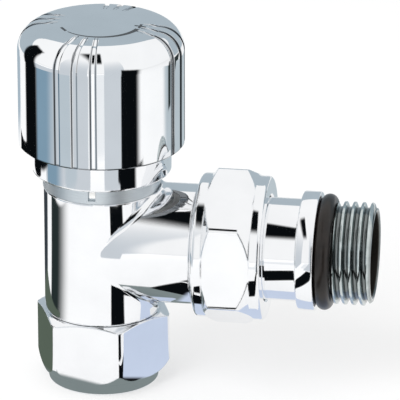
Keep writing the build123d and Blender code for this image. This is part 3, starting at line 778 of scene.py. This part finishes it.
@dataclass
class Head:
    """Knob, collar, index ring and the sensor inside them."""

    top_z: float = 76.52 * MM
    crown_r: float = 120.0 * MM
    mark_r: float = 7.6 * MM
    mark_w: float = 0.95 * MM
    mark_sweep: float = 118.0
    mark_turn: float = -134.0
    mark_steps: int = 60
    thin_end: float = 0.2
    sign_gap: float = 12.0
    sign_arm: float = 1.15 * MM
    sign_w: float = 0.26 * MM
    ink_lift: float = 0.012 * MM
    ink_h: float = 0.03 * MM
    inside_plastic: Tuple[str, ...] = (
        "head_base", "thrust_washer", "hub_ring", "drive_sleeve", "sensor_carrier",
    )
    inside_steel: Tuple[str, ...] = (
        "knob_snap_ring", "capsule_clip", "sensor_piston", "overload_spring",
    )

    def build(self) -> None:
        """Dresses the head and prints its turning mark."""
        dress("knob", KNOB_CHROME)
        dress("collar", CHROME)
        dress("index_ring", SATIN_RING)
        dress("index_tab", WHITE_TAB)
        dress("wax_capsule", BRASS)
        for node in self.inside_plastic:
            dress(node, WHITE_PLASTIC)
        for node in self.inside_steel:
            dress(node, STEEL)
        self.mark()

    def mark(self) -> None:
        """Prints a tapered turning arc between a minus and a plus on the knob's top."""
        mesh = Mesh()
        bm = mesh.bm
        edge = mesh.path([(self.mark_r, 0.0, 0.0), (self.mark_r + self.mark_w, 0.0, 0.0)])
        bmesh.ops.spin(
            bm,
            geom=[*bm.verts, *edge],
            cent=(0.0, 0.0, 0.0),
            axis=(0.0, 0.0, 1.0),
            dvec=(0.0, 0.0, 0.0),
            angle=math.radians(self.mark_sweep),
            steps=self.mark_steps,
            use_merge=False,
        )
        middle = self.mark_r + self.mark_w / 2
        for vert in bm.verts:
            turn = math.degrees(math.atan2(vert.co.y, vert.co.x)) / self.mark_sweep
            arm = vert.co.xy.length
            width = self.thin_end + (1.0 - self.thin_end) * turn
            vert.co.xy *= (middle + (arm - middle) * width) / arm
        self.sign(bm, -self.sign_gap, False)
        self.sign(bm, self.mark_sweep + self.sign_gap, True)
        swing = Matrix.Rotation(math.radians(self.mark_turn), 4, "Z")
        bmesh.ops.transform(bm, matrix=swing, verts=bm.verts)
        for vert in bm.verts:
            dome = math.sqrt(self.crown_r**2 - vert.co.xy.length_squared) - self.crown_r
            vert.co.z = self.top_z + dome + self.ink_lift
        bmesh.ops.recalc_face_normals(bm, faces=bm.faces)
        bmesh.ops.solidify(bm, geom=list(bm.faces), thickness=self.ink_h)
        mesh.close()
        mesh.piece("turning_mark", MARK_INK, Body.KNOB)
        LOG.info("turning mark rides on the knob")

    def sign(self, bm: bmesh.types.BMesh, turn: float, plus: bool) -> None:
        """Adds a minus or a plus beside the arc.

        Args:
            bm: The flat mark.
            turn: Degrees round from the arc's thin end.
            plus: Whether the upright is added.
        """
        place = Matrix.Rotation(math.radians(turn), 4, "Z")
        place = place @ Matrix.Translation((self.mark_r + self.mark_w / 2, 0.0, 0.0))
        bars = [(0.0, self.sign_w, self.sign_arm)]
        if plus:
            side = (self.sign_arm + self.sign_w) / 2 + self.ink_lift
            bars.append((side, self.sign_arm - side, self.sign_w))
            bars.append((-side, self.sign_arm - side, self.sign_w))
        for offset, half_x, half_y in bars:
            size = Matrix.Diagonal((half_x, half_y, 1.0, 1.0))
            lay = place @ Matrix.Translation((offset, 0.0, 0.0)) @ size
            bmesh.ops.create_grid(bm, x_segments=2, y_segments=2, size=1.0, matrix=lay)


@dataclass(frozen=True)
class Backdrop:
    """A soft-edged backdrop, or a sheet on the floor, that only mirrors see.

    Corners are in millimetres as the camera sees them: right of the valve's axis, towards the
    camera, and up. The soft shares are the parts of its width and length that fade out at the
    left, right, foot and head.
    """

    name: str
    corners: Tuple[Point, Point, Point, Point]
    colour: Colour
    soft: Tuple[float, float, float, float] = (0.15, 0.15, 0.15, 0.15)


BLACK: Colour = (0.003, 0.004, 0.005)
DARK: Colour = (0.03, 0.04, 0.04)
GREY: Colour = (0.62, 0.66, 0.70)
LIGHT: Colour = (0.90, 0.92, 0.94)
BACKDROPS: Tuple[Backdrop, ...] = (
    Backdrop(
        "backdrop_behind",
        ((-900, -420, -5), (900, -420, -5), (900, -420, 400), (-900, -420, 400)),
        (0.43, 0.50, 0.55),
        (0.01, 0.01, 0.01, 0.02),
    ),
    Backdrop(
        "backdrop_over",
        ((-70, -10, 250), (0, -10, 250), (16, 262, 250), (-60, 262, 250)),
        BLACK,
        (0.45, 0.08, 0.15, 0.35),
    ),
    # Dark sheet under the valve: painted contact shadow, for the chrome's lower edges to mirror.
    Backdrop(
        "painted_shadow_under",
        ((-18, -18, 0.4), (18, -18, 0.4), (18, 19, 0.4), (-18, 19, 0.4)),
        (0.22, 0.26, 0.26),
        (0.05, 0.05, 0.05, 0.05),
    ),
    Backdrop(
        "backdrop_right",
        ((56.9, 117.9, 0.6), (104.5, 73.5, 0.6), (104.5, 73.5, 74), (56.9, 117.9, 100)),
        BLACK,
        (0.06, 0.3, 0.01, 0.2),
    ),
    Backdrop(
        "backdrop_left",
        ((-106.5, -68.7, 0.6), (-134.7, -2.5, 0.6), (-134.7, -2.5, 165), (-106.5, -68.7, 165)),
        BLACK,
        (0.15, 0.2, 0.01, 0.1),
    ),
    Backdrop(
        "backdrop_right_end",
        ((165, -30, 0.6), (165, -140, 0.6), (165, -140, 50), (165, -30, 50)),
        DARK,
        (0.1, 0.1, 0.02, 0.2),
    ),
    Backdrop(
        "backdrop_front_left",
        ((-509, 318, 0.1), (-170, 575, 0.1), (-170, 575, 900), (-509, 318, 900)),
        GREY,
        (0.02, 0.02, 0.0, 0.95),
    ),
    Backdrop(
        "backdrop_front_right",
        ((52.3, 598, 0.1), (318, 509, 0.1), (318, 509, 900), (52.3, 598, 900)),
        GREY,
        (0.02, 0.02, 0.0, 0.95),
    ),
    Backdrop(
        "sheet_right_inner",
        ((4.7, 17.4, 0.5), (16.3, 7.6, 0.5), (29, 13.5, 0.5), (8.3, 30.9, 0.5)),
        BLACK,
        (0.06, 0.1, 0.02, 0.02),
    ),
    Backdrop(
        "sheet_right_near",
        ((7.7, 31, 0.5), (20.6, 24.5, 0.5), (75.9, 90.4, 0.5), (28.5, 114.5, 0.5)),
        BLACK,
        (0.06, 0.1, 0.02, 0.02),
    ),
    Backdrop(
        "sheet_right_far",
        ((57.2, 103.2, 0.5), (101.1, 60.8, 0.5), (128.6, 77.3, 0.5), (72.7, 131.2, 0.5)),
        BLACK,
        (0.06, 0.2, 0.02, 0.02),
    ),
    Backdrop(
        "sheet_left",
        ((-74.6, -99, 0.5), (-114, -48.4, 0.5), (-138, -58.6, 0.5), (-90, -120, 0.5)),
        BLACK,
        (0.08, 0.12, 0.02, 0.02),
    ),
    Backdrop(
        "sheet_body_left",
        ((-41.7, -19.4, 0.5), (-40.6, 21.6, 0.5), (-107.7, 57.3, 0.5), (-110.6, -51.6, 0.5)),
        (0.02, 0.03, 0.03),
        (0.08, 0.6, 0.03, 0.05),
    ),
    Backdrop(
        "sheet_body_back",
        ((-12.7, -40.2, 0.5), (-32.7, -25.9, 0.5), (-91.7, -74.2, 0.5), (-32.6, -113.4, 0.5)),
        (0.04, 0.05, 0.06),
        (0.1, 0.1, 0.03, 0.05),
    ),
    Backdrop(
        "grey_left",
        ((-116, -20.5, 0.25), (-100, 62.5, 0.25), (-509, 318, 0.25), (-591, -104, 0.25)),
        GREY,
        (0.0, 0.0, 0.03, 0.0),
    ),
    Backdrop(
        "grey_front_left",
        ((-100, 62.5, 0.25), (-33.5, 113, 0.25), (-170, 575, 0.25), (-509, 318, 0.25)),
        GREY,
        (0.0, 0.02, 0.03, 0.0),
    ),
    Backdrop(
        "grey_front",
        ((-19.6, 148.7, 0.25), (13.1, 149.4, 0.25), (52.3, 598, 0.25), (-78, 595, 0.25)),
        LIGHT,
        (0.05, 0.0, 0.02, 0.35),
    ),
    Backdrop(
        "grey_front_right",
        ((10.3, 117.5, 0.25), (62.5, 100, 0.25), (318, 509, 0.25), (52.3, 598, 0.25)),
        GREY,
        (0.0, 0.0, 0.03, 0.0),
    ),
    Backdrop(
        "blue_front_left",
        ((-108, 57, 0.4), (-75, 106, 0.4), (-165, 235, 0.4), (-238, 127, 0.4)),
        (0.52, 0.59, 0.64),
        (0.25, 0.25, 0.05, 0.3),
    ),
    Backdrop(
        "blue_left",
        ((-117, -16, 0.45), (-102, 59, 0.45), (-225, 130, 0.45), (-257, -36, 0.45)),
        (0.22, 0.34, 0.44),
        (0.1, 0.5, 0.05, 0.2),
    ),
    Backdrop(
        "grey_right_back",
        ((120, 0, 0.3), (0, -120, 0.3), (0, -300, 0.3), (300, 0, 0.3)),
        (0.50, 0.57, 0.61),
    ),
    Backdrop(
        "grey_left_back",
        ((0, -130, 0.3), (-90, -110, 0.3), (-220, -260, 0.3), (0, -330, 0.3)),
        (0.40, 0.49, 0.56),
    ),
    Backdrop(
        "blue_right",
        ((13, -6, 0.6), (62, -6, 0.6), (62, 16, 0.6), (13, 16, 0.6)),
        (0.60, 0.68, 0.84),
        (0.04, 0.06, 0.1, 0.05),
    ),
    Backdrop(
        "olive_left",
        ((-48, -46, 0.6), (-13, -46, 0.6), (-13, 6, 0.6), (-48, 6, 0.6)),
        (0.10, 0.13, 0.10),
        (0.05, 0.05, 0.05, 0.05),
    ),
)


@dataclass
class Studio:
    """Pale floor, soft light, backdrops for the chrome to mirror, and the camera."""

    azimuth: float = 8.85
    elevation: float = 22.0
    distance: float = 900.0 * MM
    target: Point = (19.96 * MM, 0.0, 39.6 * MM)
    lens: float = 402.75
    sensor: float = 36.0
    clip: Tuple[float, float] = (0.05, 20.0)
    floor_r: float = 3.0
    floor_lift: float = 0.42
    floor_colour: Colour = (0.86, 0.86, 0.86)
    room_light: float = 0.9
    lamp_place: Point = (-420, 520, 700)
    lamp_watts: float = 6.0
    lamp_size: float = 0.6
    stage: List[bpy.types.Object] = field(default_factory=list)

    def build(self) -> None:
        """Makes the floor, the backdrops, the world, the lamp and the camera."""
        self.floor()
        for backdrop in BACKDROPS:
            self.hang(backdrop)
        self.world()
        self.lamp()
        self.camera()
        LOG.info("stage of %d pieces", len(self.stage))

    def place(self, corner: Point) -> Vector:
        """Turns a camera-side place into the frame.

        Args:
            corner: Right, towards the camera, and up, in millimetres.

        Returns:
            The place in metres.
        """
        turn = Matrix.Rotation(math.radians(self.azimuth), 4, "Z")
        right, near, up = corner
        return turn @ (Vector((right, -near, up)) * MM)

    def floor(self) -> None:
        """Lays a round floor that shows as white and keeps a soft shadow."""
        bm = bmesh.new()
        bmesh.ops.create_circle(bm, cap_ends=True, segments=96, radius=self.floor_r)
        data = bpy.data.meshes.new("floor")
        bm.to_mesh(data)
        bm.free()
        made = bpy.data.materials.new("pale_floor")
        tree = ShaderTree(made)
        matt = tree.node("ShaderNodeBsdfDiffuse", {}, {"Color": (*self.floor_colour, 1.0)})
        lift = tree.seen() * (1.0 - self.floor_lift)
        mixed = tree.node("ShaderNodeMixShader", {}, {0: lift, 1: matt, 2: tree.glow(WHITE)})
        tree.node("ShaderNodeOutputMaterial", {}, {"Surface": mixed})
        data.materials.append(made)
        self.stage.append(show("floor", data))

    def hang(self, backdrop: Backdrop) -> None:
        """Puts up one backdrop or sheet where only mirrors see it.

        Args:
            backdrop: Its corners, colour and soft edges.
        """
        bm = bmesh.new()
        bm.loops.layers.uv.new("card")
        bmesh.ops.create_grid(bm, x_segments=12, y_segments=12, size=1.0, calc_uvs=True)
        corner = [self.place(c) for c in backdrop.corners]
        for vert in bm.verts:
            across, along = (vert.co.x + 1.0) / 2, (vert.co.y + 1.0) / 2
            foot = corner[0].lerp(corner[1], across)
            head = corner[3].lerp(corner[2], across)
            vert.co = foot.lerp(head, along)
        data = bpy.data.meshes.new(backdrop.name)
        bm.to_mesh(data)
        bm.free()
        data.materials.append(self.paint(backdrop))
        hung = show(backdrop.name, data)
        hung.visible_camera = False
        hung.visible_diffuse = False
        hung.visible_shadow = False
        hung.visible_transmission = False
        self.stage.append(hung)

    def paint(self, backdrop: Backdrop) -> bpy.types.Material:
        """Colours a backdrop and fades its edges.

        Args:
            backdrop: Its colour and soft edges.

        Returns:
            The material.
        """
        made = bpy.data.materials.new(backdrop.name)
        tree = ShaderTree(made)
        across, along = tree.axis("X", "UV"), tree.axis("Y", "UV")
        left, right, foot, head = backdrop.soft
        cover = tree.fade(across, left) * tree.fade(1.0 - across, right)
        cover = cover * tree.fade(along, foot) * tree.fade(1.0 - along, head)
        clear, tone = tree.node("ShaderNodeBsdfTransparent"), tree.glow(backdrop.colour)
        mixed = tree.node("ShaderNodeMixShader", {}, {0: cover, 1: clear, 2: tone})
        tree.node("ShaderNodeOutputMaterial", {}, {"Surface": mixed})
        return made

    def world(self) -> None:
        """Fills the room with even white light."""
        room = bpy.data.worlds.new("white_room")
        bpy.context.scene.world = room
        tree = ShaderTree(room)
        strength = self.room_light + (1.0 - self.room_light) * tree.seen()
        sky = tree.node("ShaderNodeBackground", {}, {"Color": (*WHITE, 1.0), "Strength": strength})
        tree.node("ShaderNodeOutputWorld", {}, {"Surface": sky})

    def lamp(self) -> None:
        """Adds one large soft lamp over the front left, for shape on the dull pieces."""
        data = bpy.data.lights.new("soft_lamp", "AREA")
        data.energy = self.lamp_watts
        data.size = self.lamp_size
        lamp = show("soft_lamp", data)
        lamp.location = self.place(self.lamp_place)
        aim = Vector(self.target) - lamp.location
        lamp.rotation_euler = aim.to_track_quat("-Z", "Y").to_euler()
        lamp.visible_glossy = False

    def camera(self) -> None:
        """Sets the camera at the photograph's angle."""
        data = bpy.data.cameras.new("camera")
        data.lens = self.lens
        data.sensor_width = self.sensor
        data.clip_start, data.clip_end = self.clip
        eye = show("camera", data)
        a, e = math.radians(self.azimuth), math.radians(self.elevation)
        back = Vector((math.sin(a) * math.cos(e), -math.cos(a) * math.cos(e), math.sin(e)))
        eye.location = Vector(self.target) + back * self.distance
        eye.rotation_euler = (-back).to_track_quat("-Z", "Y").to_euler()
        bpy.context.scene.camera = eye
        bpy.context.scene.view_settings.view_transform = "Standard"


def main() -> None:
    """Builds the sub-assemblies in order."""
    logging.basicConfig(level=logging.INFO, format="%(message)s")
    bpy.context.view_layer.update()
    for assembly in (Casting(), Tailpiece(), Head(), Studio()):
        assembly.build()


if __name__ == "__main__":
    main()
